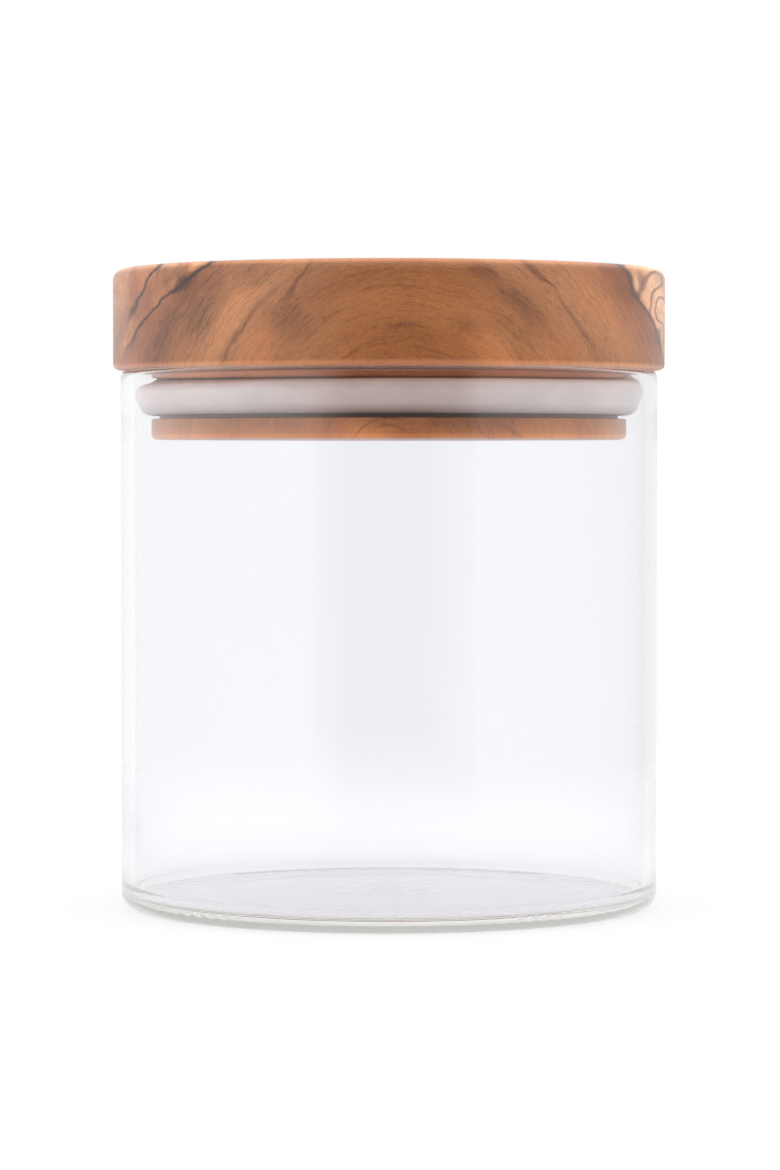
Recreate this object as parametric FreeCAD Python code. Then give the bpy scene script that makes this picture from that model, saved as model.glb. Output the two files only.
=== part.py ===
import FreeCAD, Part
import math
import os

# Lidded glass canister: a glass jar, a turned wooden lid and the soft ring that seals the two.
# Every piece is a solid of revolution about Z. The jar stands on Z = 0, and sizes are in millimetres.

# Jar
JAR_DIAMETER = 100.0
JAR_HEIGHT = 100.0
JAR_WALL = 2.5
BASE_THICKNESS = 2.6
HEEL_RADIUS = 3.0
FLOOR_FILLET = 2.6
FOOT_RING_WIDTH = 10.5
KICK_DEPTH = 0.8

# Lid
CAP_OVERHANG = 1.4
CAP_THICKNESS = 18.6
CAP_TOP_ROUND = 2.0
CAP_BOTTOM_ROUND = 1.2
PLUG_SIDE_GAP = 3.2
NECK_HEIGHT = 2.2
GROOVE_HEIGHT = 6.9
GROOVE_DEPTH = 2.5
LIP_HEIGHT = 3.8
LIP_ROUND = 1.1
EDGE_BREAK = 0.3

# Seal ring
RING_SHOULDER_RADIUS = 1.5
RING_TOE_RADIUS = 2.5
RING_LEAN_DEGREES = 20.0
RING_UNDERCUT = 0.65
RING_BAND = 0.9

# Clearances
SEAT_GAP = 0.05
RING_TO_GLASS = 0.05
RING_TO_GROOVE = 0.05

# Radii and heights that the pieces share
JAR_RADIUS = JAR_DIAMETER / 2
BORE_RADIUS = JAR_RADIUS - JAR_WALL
CAP_RADIUS = JAR_RADIUS + CAP_OVERHANG
CAP_BOTTOM = JAR_HEIGHT + SEAT_GAP
CAP_TOP = CAP_BOTTOM + CAP_THICKNESS
PLUG_RADIUS = BORE_RADIUS - PLUG_SIDE_GAP
GROOVE_RADIUS = PLUG_RADIUS - GROOVE_DEPTH
GROOVE_TOP = CAP_BOTTOM - NECK_HEIGHT
GROOVE_BOTTOM = GROOVE_TOP - GROOVE_HEIGHT
PLUG_BOTTOM = GROOVE_BOTTOM - LIP_HEIGHT


class HalfSection:
    """Half of a turned piece's cross section, drawn from a starting point as (radius, height)."""

    def __init__(self, radius, height):
        self.start = FreeCAD.Vector(radius, 0, height)
        self.here = self.start
        self.edges = []

    def line_to(self, radius, height):
        """A straight edge, left out where its two ends fall together."""
        there = FreeCAD.Vector(radius, 0, height)
        if not there.isEqual(self.here, Part.Precision.confusion()):
            self.edges.append(Part.LineSegment(self.here, there).toShape())
            self.here = there

    def round_to(self, radius, height, size, begin, end):
        """An arc about a centre, between two angles in degrees, with a straight edge up to it."""

        def on_arc(degrees):
            angle = math.radians(degrees)
            return FreeCAD.Vector(radius + size * math.cos(angle), 0, height + size * math.sin(angle))

        first = on_arc(begin)
        self.line_to(first.x, first.z)
        there = on_arc(end)
        self.edges.append(Part.Arc(self.here, on_arc((begin + end) / 2), there).toShape())
        self.here = there

    def dome_to(self, radius, height):
        """A shallow spherical cap that is level at whichever of its two ends lies on the axis."""
        edge_radius = max(radius, self.here.x)
        rise = abs(height - self.here.z)
        size = (edge_radius**2 + rise**2) / (2 * rise)
        drop = size - math.sqrt(size**2 - (edge_radius / 2) ** 2)
        middle = FreeCAD.Vector(edge_radius / 2, 0, max(height, self.here.z) - drop)
        there = FreeCAD.Vector(radius, 0, height)
        self.edges.append(Part.Arc(self.here, middle, there).toShape())
        self.here = there

    def turned(self):
        """The solid that the closed section sweeps in a full turn about Z."""
        self.line_to(self.start.x, self.start.z)
        section = Part.Face(Part.Wire(self.edges))
        shape = section.revolve(FreeCAD.Vector(0, 0, 0), FreeCAD.Vector(0, 0, 1), 360)
        return Part.Solid(shape.Shells[0])


def glass_jar():
    """Straight jar with a full-round rim, a rounded heel and a base pushed up inside its foot ring."""
    rim = JAR_WALL / 2
    heel_centre = JAR_RADIUS - HEEL_RADIUS
    kick_radius = heel_centre - FOOT_RING_WIDTH
    section = HalfSection(0, KICK_DEPTH)
    section.dome_to(kick_radius, 0)
    section.round_to(heel_centre, HEEL_RADIUS, HEEL_RADIUS, -90, 0)
    section.round_to(JAR_RADIUS - rim, JAR_HEIGHT - rim, rim, 0, 90)
    section.round_to(JAR_RADIUS - rim, JAR_HEIGHT - rim, rim, 90, 180)
    section.round_to(BORE_RADIUS - FLOOR_FILLET, BASE_THICKNESS + FLOOR_FILLET, FLOOR_FILLET, 0, -90)
    section.line_to(kick_radius, BASE_THICKNESS)
    section.dome_to(0, BASE_THICKNESS + KICK_DEPTH)
    return section.turned()


def wooden_lid():
    """Cap and plug turned from one block, with a groove round the plug for the seal ring."""
    section = HalfSection(0, PLUG_BOTTOM)
    section.round_to(PLUG_RADIUS - LIP_ROUND, PLUG_BOTTOM + LIP_ROUND, LIP_ROUND, -90, 0)
    section.round_to(PLUG_RADIUS - EDGE_BREAK, GROOVE_BOTTOM - EDGE_BREAK, EDGE_BREAK, 0, 90)
    section.line_to(GROOVE_RADIUS, GROOVE_BOTTOM)
    section.line_to(GROOVE_RADIUS, GROOVE_TOP)
    section.round_to(PLUG_RADIUS - EDGE_BREAK, GROOVE_TOP + EDGE_BREAK, EDGE_BREAK, -90, 0)
    section.line_to(PLUG_RADIUS, CAP_BOTTOM)
    section.round_to(CAP_RADIUS - CAP_BOTTOM_ROUND, CAP_BOTTOM + CAP_BOTTOM_ROUND, CAP_BOTTOM_ROUND, -90, 0)
    section.round_to(CAP_RADIUS - CAP_TOP_ROUND, CAP_TOP - CAP_TOP_ROUND, CAP_TOP_ROUND, 0, 90)
    section.line_to(0, CAP_TOP)
    return section.turned()


def silicone_gasket():
    """Seal ring: a thin band in the groove and a soft lip that meets the glass and leans in below."""
    inside = GROOVE_RADIUS + RING_TO_GROOVE
    top = GROOVE_TOP - RING_TO_GROOVE
    foot = GROOVE_BOTTOM + RING_TO_GROOVE
    underside = foot + RING_UNDERCUT
    shoulder_centre = BORE_RADIUS - RING_TO_GLASS - RING_SHOULDER_RADIUS
    shoulder_height = top - RING_SHOULDER_RADIUS
    toe_height = underside + RING_TOE_RADIUS
    lean = math.radians(RING_LEAN_DEGREES)
    lean_in = (shoulder_height - toe_height) * math.tan(lean)
    toe_centre = shoulder_centre - lean_in - (RING_TOE_RADIUS - RING_SHOULDER_RADIUS) / math.cos(lean)
    section = HalfSection(inside, foot)
    section.line_to(inside + RING_BAND, foot)
    section.line_to(inside + RING_BAND, underside)
    section.round_to(toe_centre, toe_height, RING_TOE_RADIUS, -90, -RING_LEAN_DEGREES)
    section.round_to(shoulder_centre, shoulder_height, RING_SHOULDER_RADIUS, -RING_LEAN_DEGREES, 90)
    section.line_to(inside, top)
    return section.turned()


os.makedirs("parts", exist_ok=True)
for make_piece in (glass_jar, wooden_lid, silicone_gasket):
    piece = make_piece()
    piece.exportStep(f"parts/{make_piece.__name__}.step")
    print(f"{make_piece.__name__}: {piece.Volume / 1000:.1f} ml of material, valid: {piece.isValid()}")
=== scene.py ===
import math
from collections import namedtuple

import bpy
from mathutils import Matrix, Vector, noise


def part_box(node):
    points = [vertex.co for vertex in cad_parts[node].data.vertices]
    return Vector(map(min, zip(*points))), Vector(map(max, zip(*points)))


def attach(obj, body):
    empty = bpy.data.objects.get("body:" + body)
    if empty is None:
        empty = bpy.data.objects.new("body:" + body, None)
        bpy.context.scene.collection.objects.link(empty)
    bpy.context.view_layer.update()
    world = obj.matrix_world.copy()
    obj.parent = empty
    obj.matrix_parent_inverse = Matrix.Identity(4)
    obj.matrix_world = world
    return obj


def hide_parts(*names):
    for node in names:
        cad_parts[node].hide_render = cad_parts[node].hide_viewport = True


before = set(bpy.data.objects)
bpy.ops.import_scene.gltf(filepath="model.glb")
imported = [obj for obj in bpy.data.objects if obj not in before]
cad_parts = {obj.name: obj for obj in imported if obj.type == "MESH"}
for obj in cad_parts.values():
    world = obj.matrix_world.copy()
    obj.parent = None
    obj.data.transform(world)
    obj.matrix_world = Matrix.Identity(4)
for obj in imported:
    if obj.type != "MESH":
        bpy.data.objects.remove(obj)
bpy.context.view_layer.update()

# Lidded glass canister: a clear jar, a turned olive-wood lid and a silicone seal ring.
# Lengths are in metres.

MM = 0.001

# Jar, whose outer size comes from the frame
JAR_WALL = 2.5 * MM
BASE_THICKNESS = 2.6 * MM
HEEL_RADIUS = 3.0 * MM
FLOOR_FILLET = 2.6 * MM
FOOT_RING_WIDTH = 10.5 * MM
KICK_DEPTH = 0.8 * MM

# Waves in the bore, which end below the rim, ripples round the floor's edge and rings in its middle
BORE_WAVE = 0.012 * MM
BORE_WAVES_TO_METRE = 90
BORE_WAVE_STRETCH = 6
WAVES_BELOW_RIM = 5.0 * MM
FILLET_RIPPLE = 0.06 * MM
FILLET_RIPPLES = 22
PUSH_RIPPLE = 0.03 * MM
PUSH_RADIUS = 16.0 * MM
PUSH_RING_STEP = 0.8 * MM
PUSH_RING_WOBBLE = 3
# How far outside the bore a point still counts as on it
SLACK = 0.001 * MM

# Patches of tool marks round the heel: the direction that each lies in and its reach, in degrees
TOOL_MARKS = ((-131.0, 10.0), (-58.0, 8.0), (40.0, 9.0), (135.0, 11.0))
TOOL_MARK_DEPTH = 0.08 * MM
TOOL_MARK_COUNT = 108
TOOL_MARK_SLANT = 2.0 * MM

# Lid, whose radius and heights come from the frame
CAP_THICKNESS = 18.6 * MM
CAP_TOP_ROUND = 2.0 * MM
CAP_BOTTOM_ROUND = 1.2 * MM
PLUG_SIDE_GAP = 3.2 * MM
NECK_HEIGHT = 2.2 * MM
GROOVE_HEIGHT = 6.9 * MM
GROOVE_DEPTH = 2.5 * MM
LIP_ROUND = 1.1 * MM
EDGE_BREAK = 0.3 * MM

# Seal ring, whose radius and heights come from the frame. Its lip sags a little all round, and its
# upper edge hangs lowest on the left.
RING_SHOULDER_RADIUS = 1.5 * MM
RING_TOE_RADIUS = 2.5 * MM
RING_LEAN_DEGREES = 20.0
RING_UNDERCUT = 0.65 * MM
RING_BAND = 0.9 * MM
RING_TO_GROOVE = 0.05 * MM
RING_SAG = 0.12 * MM
RING_SAG_WAVES = 3
RING_SLUMP = 1.1 * MM
RING_SLUMP_POWER = 1.2

# Faces round a full turn
GLASS_SEGMENTS = 540
WOOD_SEGMENTS = 256
RING_SEGMENTS = 256
FLOOR_SEGMENTS = 96

# Steps along the outlines, and the angle between faces that makes an edge sharp
DOME_STEPS = 24
HEEL_STEPS = 14
FOOT_STEPS = 4
RIM_STEPS = 20
OUTER_WALL_STEPS = 40
INNER_WALL_STEPS = 60
WOOD_ROUND_STEPS = 8
CAP_TOP_STEPS = 10
CAP_SIDE_STEPS = 6
EDGE_STEPS = 5
FLAT_STEPS = 12
RING_ROUND_STEPS = 12
RING_LEAN_STEPS = 3
RING_FOOT_STEPS = 2
SHARP_ANGLE = math.radians(35)

# Camera, as fitted to the photograph's curves, with the picture's scale at the jar's axis
CAMERA_DISTANCE = 766.1 * MM
CAMERA_HEIGHT = 83.46 * MM
CAMERA_SIDE = 0.2 * MM
CAMERA_TILT = math.radians(1.755)
PIXELS_PER_METRE = 5348.6
IMAGE_HEIGHT = 1170
SENSOR = 36.0


class Outline:
    """Half of a turned piece's section as (radius, height) points, drawn with lines and arcs."""

    def __init__(self, radius, height):
        self.points = [(radius, height)]

    def line(self, radius, height, steps=1):
        first_radius, first_height = self.points[-1]
        for step in range(1, steps + 1):
            share = step / steps
            across = first_radius + (radius - first_radius) * share
            up = first_height + (height - first_height) * share
            self.points.append((across, up))

    def arc(self, radius, height, size, begin, end, steps, lead=1):
        """An arc about a centre between two angles in degrees, with a straight stretch up to it."""
        for step in range(steps + 1):
            angle = math.radians(begin + (end - begin) * step / steps)
            across = radius + size * math.cos(angle)
            up = height + size * math.sin(angle)
            if step == 0:
                self.line(across, up, lead)
            else:
                self.points.append((across, up))

    def dome(self, radius, height, steps):
        """A shallow cap that is level where it meets the axis, at its first or its last point."""
        first_radius, first_height = self.points[-1]
        edge = max(radius, first_radius)
        top = max(height, first_height)
        rise = abs(height - first_height)
        for step in range(1, steps + 1):
            across = first_radius + (radius - first_radius) * step / steps
            self.points.append((across, top - rise * (across / edge) ** 2))


def turned_piece(name, outline, segments, bend=None):
    """The outline turned about Z. A point on the axis is one vertex, and bend may shift the others."""
    vertices = []
    rings = []
    for radius, height in outline.points:
        if radius == 0:
            rings.append([len(vertices)] * segments)
            vertices.append((0, 0, height))
            continue
        rings.append(range(len(vertices), len(vertices) + segments))
        for segment in range(segments):
            angle = math.tau * segment / segments
            across, up = bend(angle, radius, height) if bend else (radius, height)
            vertices.append((across * math.cos(angle), across * math.sin(angle), up))
    pairs = list(zip(rings, rings[1:]))
    on_axis = outline.points[0][0] == 0
    if not on_axis:
        pairs.append((rings[-1], rings[0]))
    faces = []
    for lower, upper in pairs:
        for segment in range(segments):
            following = (segment + 1) % segments
            corners = lower[segment], lower[following], upper[following], upper[segment]
            faces.append(tuple(dict.fromkeys(corners)))
    mesh = bpy.data.meshes.new(name)
    mesh.from_pydata(vertices, [], faces)
    mesh.shade_smooth()
    mesh.set_sharp_from_angle(angle=SHARP_ANGLE)
    piece = bpy.data.objects.new(name, mesh)
    bpy.context.scene.collection.objects.link(piece)
    return piece


class Graph:
    """A node tree, with one short method for each kind of node that the materials use."""

    def __init__(self, tree):
        self.tree = tree

    def feed(self, socket, value):
        if isinstance(value, bpy.types.NodeSocket):
            self.tree.links.new(value, socket)
        else:
            socket.default_value = value

    def add(self, kind, inputs=None, **settings):
        node = self.tree.nodes.new("ShaderNode" + kind)
        for name, value in settings.items():
            setattr(node, name, value)
        for key, value in (inputs or {}).items():
            self.feed(node.inputs[key], value)
        return node

    def place(self):
        """Where a point is on its piece, in millimetres."""
        return self.vector("SCALE", self.add("TexCoord").outputs["Object"], 1 / MM)

    def axes(self, vector):
        return self.add("SeparateXYZ", {0: vector}).outputs

    def join(self, x, y, z=0.0):
        return self.add("CombineXYZ", {0: x, 1: y, 2: z}).outputs[0]

    def math(self, operation, first, second=0.0):
        return self.add("Math", {0: first, 1: second}, operation=operation).outputs[0]

    def vector(self, operation, first, second):
        key = "Scale" if operation == "SCALE" else 1
        return self.add("VectorMath", {0: first, key: second}, operation=operation).outputs[0]

    def length(self, vector):
        return self.add("VectorMath", {0: vector}, operation="LENGTH").outputs["Value"]

    def noise_node(self, place, stretch, detail, roughness):
        scaled = self.vector("MULTIPLY", place, stretch)
        inputs = {"Vector": scaled, "Scale": 1.0, "Detail": detail, "Roughness": roughness}
        return self.add("TexNoise", inputs)

    def noise(self, place, stretch, detail, roughness=0.5):
        """Noise from 0 to 1, with the given number of features to the millimetre along each axis."""
        return self.noise_node(place, stretch, detail, roughness).outputs["Fac"]

    def shifted(self, place, stretch, reach, detail, roughness=0.5):
        """The place moved about by noise, by at most about half of reach each way."""
        random = self.noise_node(place, stretch, detail, roughness).outputs["Color"]
        centred = self.vector("SUBTRACT", random, (0.5, 0.5, 0.5))
        return self.vector("ADD", place, self.vector("SCALE", centred, reach))

    def spread(self, value, low, high, to_low=0.0, to_high=1.0, kind="SMOOTHSTEP"):
        """The value carried from one range to another, with soft ends unless told otherwise."""
        inputs = {"Value": value, 1: low, 2: high, 3: to_low, 4: to_high}
        return self.add("MapRange", inputs, interpolation_type=kind).outputs[0]

    def ramp(self, value, stops):
        """Colours by value; stops are (value, colour) pairs in rising order."""
        low = stops[0][0]
        high = stops[-1][0]
        share = self.spread(value, low, high, kind="LINEAR")
        node = self.add("ValToRGB", {"Fac": share})
        elements = node.color_ramp.elements
        while len(elements) < len(stops):
            elements.new(1.0)
        for element, (stop, colour) in zip(elements, stops):
            element.position = (stop - low) / (high - low)
            element.color = (*colour, 1.0)
        return node.outputs["Color"]

    def mix(self, factor, first, second):
        inputs = {0: factor, 6: first, 7: second}
        return self.add("Mix", inputs, data_type="RGBA").outputs[2]

    def mix_value(self, factor, first, second):
        return self.add("Mix", {0: factor, 2: first, 3: second}, data_type="FLOAT").outputs[0]

    def paint(self, mask, colour, tone):
        """The colour with a plain tone over it where the mask is strong."""
        return self.mix(mask, colour, (*tone, 1.0))

    def relight(self, colour, value):
        """The colour with its brightness multiplied by a value."""
        return self.add("HueSaturation", {"Color": colour, "Value": value}).outputs["Color"]

    def total(self, start, weights, terms):
        """start plus each weight times how far its 0 to 1 term is from the middle."""
        value = start
        for weight, term in zip(weights, terms):
            value = self.math("ADD", value, self.math("MULTIPLY", self.math("SUBTRACT", term, 0.5), weight))
        return value

    def bump(self, height, strength, distance):
        inputs = {"Height": height, "Strength": strength, "Distance": distance}
        return self.add("Bump", inputs).outputs["Normal"]

    def blend(self, factor, first, second):
        """Two shaders, of which the factor shows the second."""
        return self.add("MixShader", {0: factor, 1: first, 2: second}).outputs[0]


def new_material(name):
    """A new material, the graph of its nodes and its surface shader's inputs."""
    material = bpy.data.materials.new(name)
    material.use_nodes = True
    graph = Graph(material.node_tree)
    return material, graph, material.node_tree.nodes["Principled BSDF"].inputs


def srgb(red, green, blue):
    """A colour as a screen shows it, 0 to 255, in the linear values that shaders take."""

    def linear(level):
        share = level / 255
        return share / 12.92 if share <= 0.04045 else ((share + 0.055) / 1.055) ** 2.4

    return linear(red), linear(green), linear(blue)


# Wood grain, in millimetres. It runs from front to back, so its figure is drawn across X and Z, as
# growth rings about a pith under the cap. A place in the figure is an angle in degrees, from 0 on the
# right over 90 at the top to 180 on the left, and the radius of a ring.
PITH = (3.7, 0.0, 85.0)
TOP_TURN = 90.0
TYPICAL_RING = 40.0
# The grain's lines run straight at the front and wander from side to side behind it
WANDER = (0.006, 0.024, 0.006)
WANDER_REACH = 9.0
WANDER_DETAIL = 1.0
WANDER_DEPTHS = (-32.0, 0.0)
# Places moved about by noise: features to the millimetre, reach, detail and roughness
WAVY = ((0.16, 0.015, 0.16), 2.0, 3.0)
JAGGED = ((0.30, 0.02, 0.30), 2.4, 3.0, 0.55)
SWAYING = ((0.11, 0.012, 0.11), 4.5, 1.0)
# Noise across the wood: features to the millimetre along X, Y and Z, detail and roughness
PATCHY = ((0.16, 0.02, 0.16), 2.0)
BLOTCHES = ((0.09, 0.03, 0.07), 2.0)
SAPWOOD_CLOUDS = ((0.20, 0.02, 0.12), 3.0)
LOBES = ((0.22, 0.02, 0.16), 0.0)
LOBE_LINES = 5.0
LOBE_LINE_WIDTH = 0.26
LOBE_LINE_STRENGTH = 0.9
# Noise along the fibres: features to the millimetre across the rings, round them and along the grain
BANDS = ((0.35, 0.03, 0.004), 3.0, 0.6)
LINES = ((2.4, 0.10, 0.012), 2.0)
LINE_RANGE = (0.54, 0.66)
FLECKS = ((3.0, 0.45, 0.06), 3.0, 0.75)
DASHES = ((3.4, 0.80, 0.08), 1.0)
PORE_RANGE = (0.55, 0.70)
# How much bands, lines, flecks, pores and blotches lighten the wood
GRAIN_WEIGHTS = (0.45, -0.20, 1.2, -0.22, 0.25)
# How much bands, flecks and pores raise the surface
RELIEF_WEIGHTS = (0.3, 0.6, -0.7)
RELIEF_STRENGTH = 0.25
RELIEF_DEPTH = 0.12 * MM
# Range of the flecks and the roughness that it gives, and the oil's sheen
WOOD_ROUGHNESS = (0.3, 0.7, 0.32, 0.46)
OIL_WEIGHT = 0.3
OIL_ROUGHNESS = 0.3
# Dark veins: an angle, the ring up to there, its growth for each further degree, the vein's half-width
# there and beyond its thick stretch, and the angle where it starts to fade
Vein = namedtuple("Vein", "turn ring growth thick thin fade")
LEFT_VEIN = Vein(138.0, 48.8, 0.275, 1.1, 0.45, 157.0)
OUTER_VEIN = Vein(147.0, 55.9, 0.06, 0.6, 0.4, 152.0)
RIGHT_VEIN = Vein(33.0, 50.1, 0.13, 0.9, 0.9, 90.0)
THICK_STRETCH = (6.0, 12.0)
VEIN_FADE = 6.0
VEIN_STRENGTH = 0.95
# Range of the patchy noise, and the share of a vein's half-width that it gives
VEIN_WIDTHS = (0.35, 0.65, 0.6, 1.6)
# Browner wood just inside the veins: its reach, and the patchy noise's range with the strength it gives
HALO_REACH = (-6.0, -0.2)
HALO_STRENGTHS = (0.3, 0.7, 0.25, 1.0)
SAPWOOD_EDGE = (-0.3, 0.4)
# Share of a streak's or a painted edge highlight's reach over which it keeps its full strength
FULL_SHARE = 0.3
# Streaks: an angle, the ring there, its growth for each degree, half-width, reach in degrees, strength
STREAKS = (
    (124.0, 35.5, -0.30, 1.0, 9.0, 0.85),
    (145.0, 36.6, 0.02, 0.45, 15.0, 0.6),
    (54.0, 38.5, 0.06, 0.7, 9.0, 0.85),
    (38.0, 37.5, 0.02, 0.35, 15.0, 0.6),
    (67.0, 34.0, -0.05, 1.0, 8.0, 0.55),
    (92.0, 21.8, 0.0, 0.4, 11.0, 0.7),
    (121.0, 19.9, 0.02, 0.35, 8.0, 0.8),
    (97.0, 28.9, 0.03, 0.35, 14.0, 0.55),
    (80.0, 18.0, 0.02, 0.3, 16.0, 0.5),
    (137.0, 8.0, 0.073, 0.55, 42.0, 0.8),
    (122.0, 5.2, 0.070, 0.40, 40.0, 0.7),
    (12.0, 18.4, -0.31, 0.6, 9.0, 0.6),
    (16.0, 12.5, -0.20, 0.5, 12.0, 0.6),
)
# Soft patches: an angle, the ring there, reach in degrees and across rings, and how much lighter
PATCHES = (
    (151.0, 46.5, 15.0, 5.0, -0.30),
    (146.0, 43.5, 9.0, 3.0, -0.24),
    (158.0, 49.8, 8.0, 3.0, -0.30),
    (130.0, 41.5, 8.0, 3.2, -0.26),
    (143.0, 39.2, 14.0, 2.4, 0.36),
    (147.0, 32.5, 10.0, 3.8, 0.42),
    (132.5, 30.5, 6.5, 3.8, -0.30),
    (53.0, 32.2, 10.0, 2.4, -0.26),
    (68.0, 33.8, 7.0, 1.8, -0.20),
    (66.0, 24.0, 7.0, 1.8, -0.24),
    (92.0, 20.5, 22.0, 2.2, -0.16),
    (40.0, 8.0, 45.0, 6.0, -0.28),
    (8.0, 27.0, 10.0, 14.0, 0.26),
    (165.0, 14.0, 16.0, 9.0, 0.40),
    (152.0, 9.0, 16.0, 6.0, 0.28),
    (106.0, 28.0, 14.0, 2.6, 0.14),
    (47.0, 22.5, 17.0, 3.4, 0.46),
    (33.0, 31.0, 11.0, 5.0, 0.26),
    (38.0, 42.5, 16.0, 4.0, 0.22),
    (144.0, 53.2, 6.0, 2.8, -0.34),
    (146.0, 58.0, 5.0, 2.0, 0.35),
    (156.0, 58.5, 6.0, 2.4, -0.20),
    (22.0, 53.0, 7.0, 4.0, -0.26),
    (36.0, 57.0, 6.0, 3.0, -0.20),
)
PATCH_EDGE = (0.25, 1.25)
# Painted light: painted highlights on the turned edges of the cap, its underside by the rim and the
# lip, and painted light in the neck's shade under the cap: radius and height, reach, and how much lighter
PAINTED_EDGE_LIGHT = (
    (50.6, 100.2, 1.3, 0.85),
    (48.7, 100.0, 1.6, 0.80),
    (50.3, 118.6, 1.4, 0.80),
    (44.3, 98.9, 1.3, 1.30),
    (44.3, 87.6, 2.4, 0.36),
    (44.0, 87.3, 1.1, 0.75),
)
VEIN_COLOUR = srgb(50, 28, 25)
SOFT_VEIN_COLOUR = srgb(92, 60, 52)
STREAK_COLOUR = srgb(112, 64, 38)
HALO_COLOUR = srgb(124, 72, 44)
SAPWOOD_LINE_COLOUR = srgb(128, 84, 70)
RING_COLOURS = (
    (2.0, srgb(142, 77, 30)),
    (6.0, srgb(160, 96, 50)),
    (11.0, srgb(152, 94, 54)),
    (15.0, srgb(140, 81, 40)),
    (20.0, srgb(148, 89, 46)),
    (26.0, srgb(155, 97, 55)),
    (32.0, srgb(147, 90, 51)),
    (38.0, srgb(160, 106, 68)),
    (43.0, srgb(160, 104, 66)),
    (50.0, srgb(144, 89, 58)),
    (56.0, srgb(152, 96, 66)),
)
LEFT_SAPWOOD = ((0.36, srgb(140, 86, 56)), (0.50, srgb(161, 104, 68)), (0.64, srgb(186, 128, 86)))
RIGHT_SAPWOOD = ((0.36, srgb(178, 120, 84)), (0.50, srgb(200, 142, 102)), (0.64, srgb(224, 172, 132)))


def wandering(g, place):
    """The place that the grain takes a point to have, shifted more and more behind the front."""
    reach = g.spread(g.axes(place)["Y"], *WANDER_DEPTHS, 0.0, WANDER_REACH)
    return g.shifted(place, WANDER, reach, WANDER_DETAIL)


def ring_place(g, place):
    """The growth ring that a place lies on and its angle about the pith."""
    grain = g.axes(g.vector("SUBTRACT", place, PITH))
    flat = g.join(grain["X"], grain["Z"])
    return g.length(flat), g.math("DEGREES", g.math("ARCTAN2", grain["Z"], grain["X"]))


class Figure:
    """Where a point lies in the wood's figure."""

    def __init__(self, g):
        self.place = wandering(g, g.place())
        self.wavy = g.shifted(self.place, *WAVY)
        self.jagged = g.shifted(self.place, *JAGGED)
        self.ring, self.turn = ring_place(g, self.wavy)
        self.patchy = g.noise(self.place, *PATCHY)
        self.on_right = g.math("LESS_THAN", self.turn, TOP_TURN)
        self.on_left = g.math("SUBTRACT", 1.0, self.on_right)


def wood_grain(g, figure):
    """Bands, thin lines, flecks, pores and blotches, each from 0 to 1."""
    around = g.math("MULTIPLY", g.math("RADIANS", figure.turn), TYPICAL_RING)
    fibre = g.join(figure.ring, around, g.axes(figure.place)["Y"])
    bands = g.noise(fibre, *BANDS)
    lines = g.spread(g.noise(fibre, *LINES), *LINE_RANGE)
    flecks = g.noise(fibre, *FLECKS)
    pores = g.spread(g.noise(fibre, *DASHES), *PORE_RANGE)
    blotches = g.noise(figure.place, *BLOTCHES)
    return bands, lines, flecks, pores, blotches


def patched(g, figure, value):
    """The wood's lightness with its soft lighter and darker patches."""
    spot = g.join(figure.turn, figure.ring)
    for turn, ring, reach_turn, reach_ring, lighter in PATCHES:
        off = g.vector("SUBTRACT", spot, (turn, ring, 0.0))
        shares = g.vector("MULTIPLY", off, (1 / reach_turn, 1 / reach_ring, 0.0))
        value = g.math("ADD", value, g.spread(g.length(shares), *PATCH_EDGE, lighter, 0.0))
    return value


def with_painted_edge_light(g, value):
    """The wood's lightness with painted highlights on its turned edges and painted light in its shaded
    neck.
    """
    place = g.place()
    across = g.length(g.vector("MULTIPLY", place, (1.0, 1.0, 0.0)))
    profile = g.join(across, g.axes(place)["Z"])
    for radius, height, reach, lighter in PAINTED_EDGE_LIGHT:
        off = g.length(g.vector("SUBTRACT", profile, (radius, height, 0.0)))
        value = g.math("ADD", value, g.spread(off, FULL_SHARE * reach, reach, lighter, 0.0))
    return value


def beyond(g, ring, turn, line):
    """How far a place lies outside a line of the figure, in millimetres, and less than 0 inside it."""
    line_turn, line_ring, growth = line
    drift = g.math("MULTIPLY", g.math("SUBTRACT", turn, line_turn), growth)
    return g.math("SUBTRACT", g.math("SUBTRACT", ring, line_ring), drift)


def vein_mask(g, distance, width, patchy):
    """Strong within a vein's half-width, which follows the patchy noise."""
    reach = g.math("MULTIPLY", g.spread(patchy, *VEIN_WIDTHS), width)
    return g.spread(g.math("ABSOLUTE", distance), 0.0, reach, VEIN_STRENGTH, 0.0)


def heartwood(g, figure):
    """Brown growth rings with darker streaks along them."""
    colour = g.ramp(figure.ring, RING_COLOURS)
    for turn, ring, growth, width, reach, strength in STREAKS:
        off = g.math("ABSOLUTE", g.math("SUBTRACT", figure.turn, turn))
        here = g.spread(off, FULL_SHARE * reach, reach, strength, 0.0)
        distance = beyond(g, figure.ring, figure.turn, (turn, ring, growth))
        dark = vein_mask(g, distance, width, figure.patchy)
        colour = g.paint(g.math("MULTIPLY", here, dark), colour, STREAK_COLOUR)
    return colour


def sapwood_lines(g, place):
    """Thin curling lines round the lobes of the sapwood's figure."""
    lobes = g.math("MULTIPLY", g.noise(place, *LOBES), LOBE_LINES)
    away = g.math("ABSOLUTE", g.math("SUBTRACT", g.math("FRACT", lobes), 0.5))
    return g.spread(away, 0.0, LOBE_LINE_WIDTH, LOBE_LINE_STRENGTH, 0.0)


def sapwood(g, figure):
    """Cloudy pale wood, with curling lines on the right."""
    pale = g.noise(figure.jagged, *SAPWOOD_CLOUDS)
    colour = g.mix(figure.on_right, g.ramp(pale, LEFT_SAPWOOD), g.ramp(pale, RIGHT_SAPWOOD))
    curls = g.math("MULTIPLY", sapwood_lines(g, figure.wavy), figure.on_right)
    return g.paint(curls, colour, SAPWOOD_LINE_COLOUR)


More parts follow.
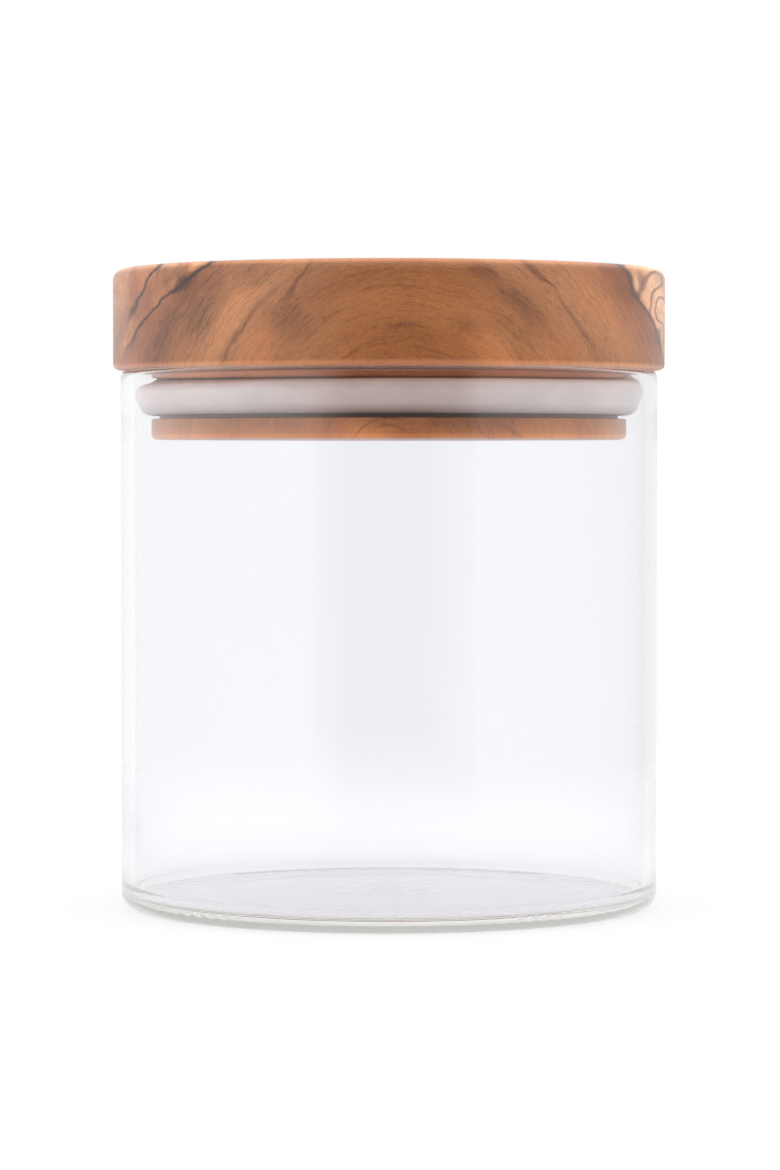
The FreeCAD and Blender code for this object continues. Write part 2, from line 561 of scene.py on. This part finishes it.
def vein_distances(g, figure):
    """How far a place lies outside the left, the outer and the right vein."""
    jagged = ring_place(g, figure.jagged)
    swaying = ring_place(g, g.shifted(figure.place, *SWAYING))
    distances = []
    for vein, (ring, turn) in ((LEFT_VEIN, jagged), (OUTER_VEIN, jagged), (RIGHT_VEIN, swaying)):
        further = g.math("MAXIMUM", turn, vein.turn)
        distances.append(beyond(g, ring, further, (vein.turn, vein.ring, vein.growth)))
    return distances


def veined(g, figure, colour, vein, distance, side, tone):
    """The colour with one dark vein over it, on its own side of the lid."""
    begin, end = (vein.turn + stretch for stretch in THICK_STRETCH)
    width = g.spread(figure.turn, begin, end, vein.thick, vein.thin)
    fade = g.spread(figure.turn, vein.fade, vein.fade + VEIN_FADE, 1.0, 0.0)
    dark = g.math("MULTIPLY", vein_mask(g, distance, width, figure.patchy), g.math("MULTIPLY", side, fade))
    return g.paint(dark, colour, tone)


def olive_wood():
    """Oiled olive wood: brown heartwood rings, dark veins and paler sapwood outside them, with painted
    highlights on its turned edges.
    """
    material, g, surface = new_material("olive_wood")
    figure = Figure(g)
    bands, lines, flecks, pores, blotches = wood_grain(g, figure)
    left, outer, right = vein_distances(g, figure)
    outside = g.mix_value(figure.on_right, left, right)
    halo = g.math(
        "MULTIPLY", g.spread(outside, *HALO_REACH), g.spread(figure.patchy, *HALO_STRENGTHS)
    )
    inner = g.paint(halo, heartwood(g, figure), HALO_COLOUR)
    colour = g.mix(g.spread(outside, *SAPWOOD_EDGE), inner, sapwood(g, figure))
    lightness = g.total(1.0, GRAIN_WEIGHTS, (bands, lines, flecks, pores, blotches))
    # Painted highlights on the turned edges and painted light in the shaded neck lighten the colour here
    colour = g.relight(colour, with_painted_edge_light(g, patched(g, figure, lightness)))
    colour = veined(g, figure, colour, LEFT_VEIN, left, figure.on_left, VEIN_COLOUR)
    colour = veined(g, figure, colour, OUTER_VEIN, outer, figure.on_left, VEIN_COLOUR)
    colour = veined(g, figure, colour, RIGHT_VEIN, right, figure.on_right, SOFT_VEIN_COLOUR)
    relief = g.total(0.5, RELIEF_WEIGHTS, (bands, flecks, pores))
    g.feed(surface["Base Color"], colour)
    g.feed(surface["Roughness"], g.spread(flecks, *WOOD_ROUGHNESS))
    g.feed(surface["Normal"], g.bump(relief, RELIEF_STRENGTH, RELIEF_DEPTH))
    surface["Coat Weight"].default_value = OIL_WEIGHT
    surface["Coat Roughness"].default_value = OIL_ROUGHNESS
    return material


# Glass: its cool cast and its smears, with the roughness that they give
GLASS_IOR = 1.47
CAST = ((0.02, 0.02, 0.015), 2.0)
CAST_TINTS = ((0.3, (0.972, 0.976, 0.998)), (0.7, (0.980, 0.984, 1.0)))
SMEARS = ((0.06, 0.06, 0.03), 4.0, 0.6)
SMEAR_ROUGHNESS = (0.52, 0.75, 0.0, 0.02)
# Share of the light that passes each face of the glass on its way to other things, how many times a
# sight line turns before it goes straight on through the glass, and its share at each face from there
GLASS_SHADE = (0.945, 0.947, 0.955)
GLASS_DEPTH = 4.5
GLASS_DEEP_SHADE = (0.84, 0.838, 0.825)
# Tint that the glass takes on with its thickness, and how fast it does
GLASS_DEPTH_COLOUR = (0.60, 0.60, 0.57)
GLASS_DENSITY = 3.5


def clear_glass():
    """Colourless glass with a cool cast and faint smears. Light from lamps and floor passes through."""
    material, g, surface = new_material("clear_glass")
    place = g.place()
    g.feed(surface["Base Color"], g.ramp(g.noise(place, *CAST), CAST_TINTS))
    g.feed(surface["Roughness"], g.spread(g.noise(place, *SMEARS), *SMEAR_ROUGHNESS))
    surface["Transmission Weight"].default_value = 1.0
    surface["IOR"].default_value = GLASS_IOR
    rays = g.add("LightPath").outputs
    deep = g.math("GREATER_THAN", rays["Ray Depth"], GLASS_DEPTH)
    light = g.math("MAXIMUM", rays["Is Shadow Ray"], rays["Is Diffuse Ray"])
    shade = g.mix(light, (*GLASS_DEEP_SHADE, 1.0), (*GLASS_SHADE, 1.0))
    clear = g.add("BsdfTransparent", {"Color": shade}).outputs[0]
    nodes = material.node_tree.nodes
    both = g.blend(g.math("MAXIMUM", light, deep), nodes["Principled BSDF"].outputs[0], clear)
    g.feed(nodes["Material Output"].inputs["Surface"], both)
    thickness = g.add("VolumeAbsorption", {"Color": (*GLASS_DEPTH_COLOUR, 1.0), "Density": GLASS_DENSITY})
    g.feed(nodes["Material Output"].inputs["Volume"], thickness.outputs[0])
    return material


# Ring tones by height in millimetres, at the front and back and at the two sides, with light and shade
# painted in: painted shade on its lower edge, deepest and browner with a painted reflection of the wood
# at the front and back, a painted highlight that makes its shoulder palest, and lighter painted sides
PAINTED_SHADE_FRONT_TONES = (
    (91.6, srgb(128, 104, 94)),
    (93.6, srgb(208, 186, 177)),
    (96.4, srgb(213, 192, 184)),
    (97.6, srgb(250, 234, 227)),
)
PAINTED_LIGHT_SIDE_TONES = (
    (91.6, srgb(186, 174, 170)),
    (93.6, srgb(219, 206, 203)),
    (96.4, srgb(223, 211, 208)),
    (97.6, srgb(252, 242, 238)),
)
# Distance from the middle along X, in millimetres, over which the painted lighter sides take over from the
# painted shade at the front and back
PAINTED_LIGHT_SIDE_RANGE = (3.0, 28.0)
# Cloudiness, with the brightness and roughness that it gives, and the mould's fine texture
CLOUD = ((0.10, 0.10, 0.20), 3.0)
CLOUD_LEVELS = (0.3, 0.7, 0.94, 1.06)
CLOUD_ROUGHNESS = (0.3, 0.7, 0.40, 0.50)
MOULD_GRAIN = ((3.0, 3.0, 3.0), 2.0)
MOULD_STRENGTH = 0.10
MOULD_DEPTH = 0.04 * MM
# Light that gets into the silicone: its share, reach and colours
INNER_LIGHT = 0.3
INNER_LIGHT_REACH = 1.2 * MM
INNER_LIGHT_COLOURS = (1.0, 0.75, 0.65)


def white_silicone():
    """Soft white silicone that lets a little light in, with a fine matt moulding texture, and painted light
    and shade in its tones by height and side.
    """
    material, g, surface = new_material("white_silicone")
    place = g.place()
    axes = g.axes(place)
    cloud = g.noise(place, *CLOUD)
    # Painted shade and a painted reflection of the wood at the front and back, painted light at the sides
    side = g.spread(g.math("ABSOLUTE", axes["X"]), *PAINTED_LIGHT_SIDE_RANGE)
    shaded_and_lit_tones = g.mix(side, g.ramp(axes["Z"], PAINTED_SHADE_FRONT_TONES), g.ramp(axes["Z"], PAINTED_LIGHT_SIDE_TONES))
    g.feed(surface["Base Color"], g.relight(shaded_and_lit_tones, g.spread(cloud, *CLOUD_LEVELS)))
    g.feed(surface["Roughness"], g.spread(cloud, *CLOUD_ROUGHNESS))
    g.feed(surface["Normal"], g.bump(g.noise(place, *MOULD_GRAIN), MOULD_STRENGTH, MOULD_DEPTH))
    surface["Subsurface Weight"].default_value = INNER_LIGHT
    surface["Subsurface Radius"].default_value = INNER_LIGHT_COLOURS
    surface["Subsurface Scale"].default_value = INNER_LIGHT_REACH
    return material


def tool_marks(angle, height):
    """How deep the slanting marks round the heel are."""
    depth = 0.0
    for degrees, reach in TOOL_MARKS:
        off = (math.degrees(angle) - degrees + 180) % 360 - 180
        depth += TOOL_MARK_DEPTH * math.exp(-((off / reach) ** 2))
    wave = math.sin(TOOL_MARK_COUNT * angle + math.tau * height / TOOL_MARK_SLANT)
    return depth * (1 + wave) / 2 * math.sin(math.pi * height / HEEL_RADIUS)


def glass_jar(material):
    """The jar, with the slight waves that blown glass has on its inside and round its base."""
    _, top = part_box("glass_jar")
    outer = top.x
    bore = outer - JAR_WALL
    rim = JAR_WALL / 2
    heel_centre = outer - HEEL_RADIUS
    kick_radius = heel_centre - FOOT_RING_WIDTH
    fillet_centre = bore - FLOOR_FILLET
    fillet_top = BASE_THICKNESS + FLOOR_FILLET

    outline = Outline(0, KICK_DEPTH)
    outline.dome(kick_radius, 0, DOME_STEPS)
    outline.arc(heel_centre, HEEL_RADIUS, HEEL_RADIUS, -90, 0, HEEL_STEPS, FOOT_STEPS)
    outline.arc(outer - rim, top.z - rim, rim, 0, 180, RIM_STEPS, OUTER_WALL_STEPS)
    outline.arc(fillet_centre, fillet_top, FLOOR_FILLET, 0, -90, HEEL_STEPS, INNER_WALL_STEPS)
    outline.line(kick_radius, BASE_THICKNESS, FOOT_STEPS)
    outline.dome(0, BASE_THICKNESS + KICK_DEPTH, DOME_STEPS)

    def bend(angle, radius, height):
        if radius > bore and height < HEEL_RADIUS:
            return radius - tool_marks(angle, height), height
        waved = height > KICK_DEPTH and radius < bore + SLACK and height < top.z - WAVES_BELOW_RIM
        if not waved:
            return radius, height
        around = Vector((math.cos(angle), math.sin(angle), 0))
        wall = around * radius + Vector((0, 0, height / BORE_WAVE_STRETCH))
        inward = BORE_WAVE * (1 + noise.noise(wall * BORE_WAVES_TO_METRE))
        if height > fillet_top:
            return radius - inward, height
        near_wall = min(1.0, max(0.0, (radius - kick_radius) / (bore - kick_radius)))
        near_axis = max(0.0, 1 - radius / PUSH_RADIUS)
        ripple = FILLET_RIPPLE * near_wall * (1 + noise.noise(around * FILLET_RIPPLES)) / 2
        phase = radius / PUSH_RING_STEP + PUSH_RING_WOBBLE * noise.noise(around)
        push = PUSH_RIPPLE * near_axis * (1 + math.sin(phase))
        return radius - inward * near_wall, height + ripple + push

    piece = turned_piece("jar_glass", outline, GLASS_SEGMENTS, bend)
    piece.data.materials.append(material)
    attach(piece, "jar")
    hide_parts("glass_jar")


def wooden_lid(material):
    """Cap and plug in one, with the groove that holds the seal ring."""
    low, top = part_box("wooden_lid")
    _, jar_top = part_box("glass_jar")
    cap_bottom = top.z - CAP_THICKNESS
    plug_radius = jar_top.x - JAR_WALL - PLUG_SIDE_GAP
    groove_radius = plug_radius - GROOVE_DEPTH
    groove_top = cap_bottom - NECK_HEIGHT
    groove_bottom = groove_top - GROOVE_HEIGHT
    lip_centre = plug_radius - LIP_ROUND
    edge_centre = plug_radius - EDGE_BREAK
    bottom_centre = top.x - CAP_BOTTOM_ROUND
    top_centre = top.x - CAP_TOP_ROUND

    outline = Outline(0, low.z)
    outline.arc(lip_centre, low.z + LIP_ROUND, LIP_ROUND, -90, 0, WOOD_ROUND_STEPS, FLAT_STEPS)
    outline.arc(edge_centre, groove_bottom - EDGE_BREAK, EDGE_BREAK, 0, 90, EDGE_STEPS)
    outline.line(groove_radius, groove_bottom)
    outline.line(groove_radius, groove_top)
    outline.arc(edge_centre, groove_top + EDGE_BREAK, EDGE_BREAK, -90, 0, EDGE_STEPS)
    outline.line(plug_radius, cap_bottom)
    outline.arc(bottom_centre, cap_bottom + CAP_BOTTOM_ROUND, CAP_BOTTOM_ROUND, -90, 0, WOOD_ROUND_STEPS)
    outline.arc(top_centre, top.z - CAP_TOP_ROUND, CAP_TOP_ROUND, 0, 90, CAP_TOP_STEPS, CAP_SIDE_STEPS)
    outline.line(0, top.z, FLAT_STEPS)

    piece = turned_piece("lid_wood", outline, WOOD_SEGMENTS)
    piece.data.materials.append(material)
    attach(piece, "lid")
    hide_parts("wooden_lid")


def seal_ring(material):
    """The soft ring: a thin band in the groove and a lip that meets the glass and leans in below."""
    low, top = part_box("silicone_gasket")
    _, jar_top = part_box("glass_jar")
    belly = top.x
    inside = jar_top.x - JAR_WALL - PLUG_SIDE_GAP - GROOVE_DEPTH + RING_TO_GROOVE
    band = inside + RING_BAND
    underside = low.z + RING_UNDERCUT
    shoulder_centre = belly - RING_SHOULDER_RADIUS
    shoulder_height = top.z - RING_SHOULDER_RADIUS
    toe_height = underside + RING_TOE_RADIUS
    lean = math.radians(RING_LEAN_DEGREES)
    lean_in = (shoulder_height - toe_height) * math.tan(lean)
    toe_centre = shoulder_centre - lean_in - (RING_TOE_RADIUS - RING_SHOULDER_RADIUS) / math.cos(lean)
    shoulder = shoulder_centre, shoulder_height, RING_SHOULDER_RADIUS
    toe = toe_centre, toe_height, RING_TOE_RADIUS

    outline = Outline(inside, low.z)
    outline.line(band, low.z)
    outline.line(band, underside)
    outline.arc(*toe, -90, -RING_LEAN_DEGREES, RING_ROUND_STEPS, RING_FOOT_STEPS)
    outline.arc(*shoulder, -RING_LEAN_DEGREES, 90, RING_ROUND_STEPS, RING_LEAN_STEPS)
    outline.line(inside, top.z, RING_LEAN_STEPS)

    def bend(angle, radius, height):
        out = max(0.0, (radius - band) / (belly - band))
        up = (height - low.z) / (top.z - low.z)
        left = max(0.0, -math.cos(angle))
        around = Vector((math.cos(angle), math.sin(angle), 0))
        sag = RING_SAG * (1 + noise.noise(around * RING_SAG_WAVES)) / 2
        slump = RING_SLUMP * up * left**RING_SLUMP_POWER
        return radius, height - (sag + slump) * out

    piece = turned_piece("seal_ring", outline, RING_SEGMENTS, bend)
    piece.data.materials.append(material)
    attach(piece, "seal")
    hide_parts("silicone_gasket")


# Studio: a soft light overhead and two wide screens, with a gap between them where the camera stands
FLOOR_RADIUS = 5.0
FLOOR_DROP = 0.1 * MM
FLOOR_COLOUR = (0.86, 0.86, 0.87)
FLOOR_ROUGHNESS = 0.9
# How much brighter the camera sees the floor, straight and through the glass
FLOOR_GLOW = 0.08
FLOOR_GLOW_IN_GLASS = 0.02
# Distances over which the floor fades, and how much of it the white replaces
FLOOR_FADE = (0.10, 0.43, 0.0, 0.99)
LAMP_PLACE = (1.0, -0.35, 0.45)
LAMP_TARGET = (0, 0, 60 * MM)
LAMP_SIZE = 0.7
LEFT_LAMP_POWER = 3.0
RIGHT_LAMP_POWER = 4.0
WHITE = (1.0, 1.0, 1.0, 1.0)
BACKGROUND_LEVEL = 1.005
SCREEN_LEVEL = 1.1
OVERHEAD_LEVEL = 1.2
OVERHEAD = (0.35, 0.75)
# Turns, other than bends through the glass, below which a sight line counts as straight: on the floor,
# and in the white around it, where the line's end counts as one turn
FLOOR_TURNS = 0.5
WHITE_TURNS = 1.5
# Brightness by the angle in degrees to the right of the camera, as a share of the screens' level
SCREEN_SHARES = (
    (-180.0, 0.91),
    (-110.0, 0.95),
    (-34.0, 1.0),
    (-16.0, 0.20),
    (35.0, 0.20),
    (38.0, 0.62),
    (110.0, 0.70),
    (180.0, 0.91),
)


def looked_at(g, turn_limit):
    """1 wherever the camera looks, straight or through the glass, and 0 for other light."""
    rays = g.add("LightPath").outputs
    turns = g.math("SUBTRACT", rays["Ray Depth"], rays["Transmission Depth"])
    through = g.math("MULTIPLY", rays["Is Transmission Ray"], g.math("LESS_THAN", turns, turn_limit))
    return g.math("MAXIMUM", rays["Is Camera Ray"], through)


def floor():
    """A pale round floor that keeps the object's shadow and fades into the white behind it."""
    outline = Outline(0, -FLOOR_DROP)
    outline.line(FLOOR_RADIUS, -FLOOR_DROP)
    outline.line(FLOOR_RADIUS, -2 * FLOOR_DROP)
    outline.line(0, -2 * FLOOR_DROP)
    piece = turned_piece("floor", outline, FLOOR_SEGMENTS)
    material, g, surface = new_material("pale_floor")
    surface["Base Color"].default_value = (*FLOOR_COLOUR, 1.0)
    surface["Roughness"].default_value = FLOOR_ROUGHNESS
    surface["Emission Color"].default_value = WHITE
    seen = looked_at(g, FLOOR_TURNS)
    direct = g.add("LightPath").outputs["Is Camera Ray"]
    level = g.mix_value(direct, FLOOR_GLOW_IN_GLASS, FLOOR_GLOW)
    g.feed(surface["Emission Strength"], g.math("MULTIPLY", seen, level))
    far = g.spread(g.length(g.add("TexCoord").outputs["Object"]), *FLOOR_FADE)
    clear = g.add("BsdfTransparent").outputs[0]
    white = g.add("Emission", {"Color": WHITE, "Strength": BACKGROUND_LEVEL}).outputs[0]
    nodes = material.node_tree.nodes
    both = g.blend(far, nodes["Principled BSDF"].outputs[0], g.blend(seen, clear, white))
    g.feed(nodes["Material Output"].inputs["Surface"], both)
    piece.data.materials.append(material)


def surroundings():
    """White wherever the camera looks, straight or through the glass, and the screens as its light."""
    world = bpy.data.worlds.new("studio")
    world.use_nodes = True
    bpy.context.scene.world = world
    g = Graph(world.node_tree)

    def glow(colour, strength):
        return g.add("Background", {"Color": colour, "Strength": strength}).outputs[0]

    direction = g.axes(g.add("TexCoord").outputs["Generated"])
    forward = g.math("MULTIPLY", direction["Y"], -1.0)
    angle = g.math("DEGREES", g.math("ARCTAN2", direction["X"], forward))
    shares = g.ramp(angle, [(stop, (share, share, share)) for stop, share in SCREEN_SHARES])
    above = g.spread(direction["Z"], *OVERHEAD)
    screens = g.blend(above, glow(shares, SCREEN_LEVEL), glow(WHITE, OVERHEAD_LEVEL))
    both = g.blend(looked_at(g, WHITE_TURNS), screens, glow(WHITE, BACKGROUND_LEVEL))
    g.feed(world.node_tree.nodes["World Output"].inputs["Surface"], both)


def lamp(name, side, power):
    """A square soft lamp on one side that faces the object and isn't seen itself."""
    across, forward, height = LAMP_PLACE
    place = Vector((side * across, forward, height))
    data = bpy.data.lights.new(name, "AREA")
    data.size = LAMP_SIZE
    data.energy = power
    lit = bpy.data.objects.new(name, data)
    lit.location = place
    lit.rotation_euler = (Vector(LAMP_TARGET) - place).to_track_quat("-Z", "Y").to_euler()
    lit.visible_glossy = False
    lit.visible_transmission = False
    lit.visible_camera = False
    bpy.context.scene.collection.objects.link(lit)


def camera():
    """The photograph's view, from just below the height of the lid's underside, tilted a little down."""
    data = bpy.data.cameras.new("camera")
    data.sensor_width = SENSOR
    data.lens = PIXELS_PER_METRE * CAMERA_DISTANCE * SENSOR / IMAGE_HEIGHT
    view = bpy.data.objects.new("camera", data)
    view.location = (CAMERA_SIDE, -CAMERA_DISTANCE, CAMERA_HEIGHT)
    view.rotation_euler = (math.pi / 2 - CAMERA_TILT, 0, 0)
    bpy.context.scene.collection.objects.link(view)
    bpy.context.scene.camera = view


glass_jar(clear_glass())
wooden_lid(olive_wood())
seal_ring(white_silicone())

floor()
surroundings()
lamp("left_lamp", -1, LEFT_LAMP_POWER)
lamp("right_lamp", 1, RIGHT_LAMP_POWER)
camera()
bpy.context.scene.view_settings.view_transform = "Standard"
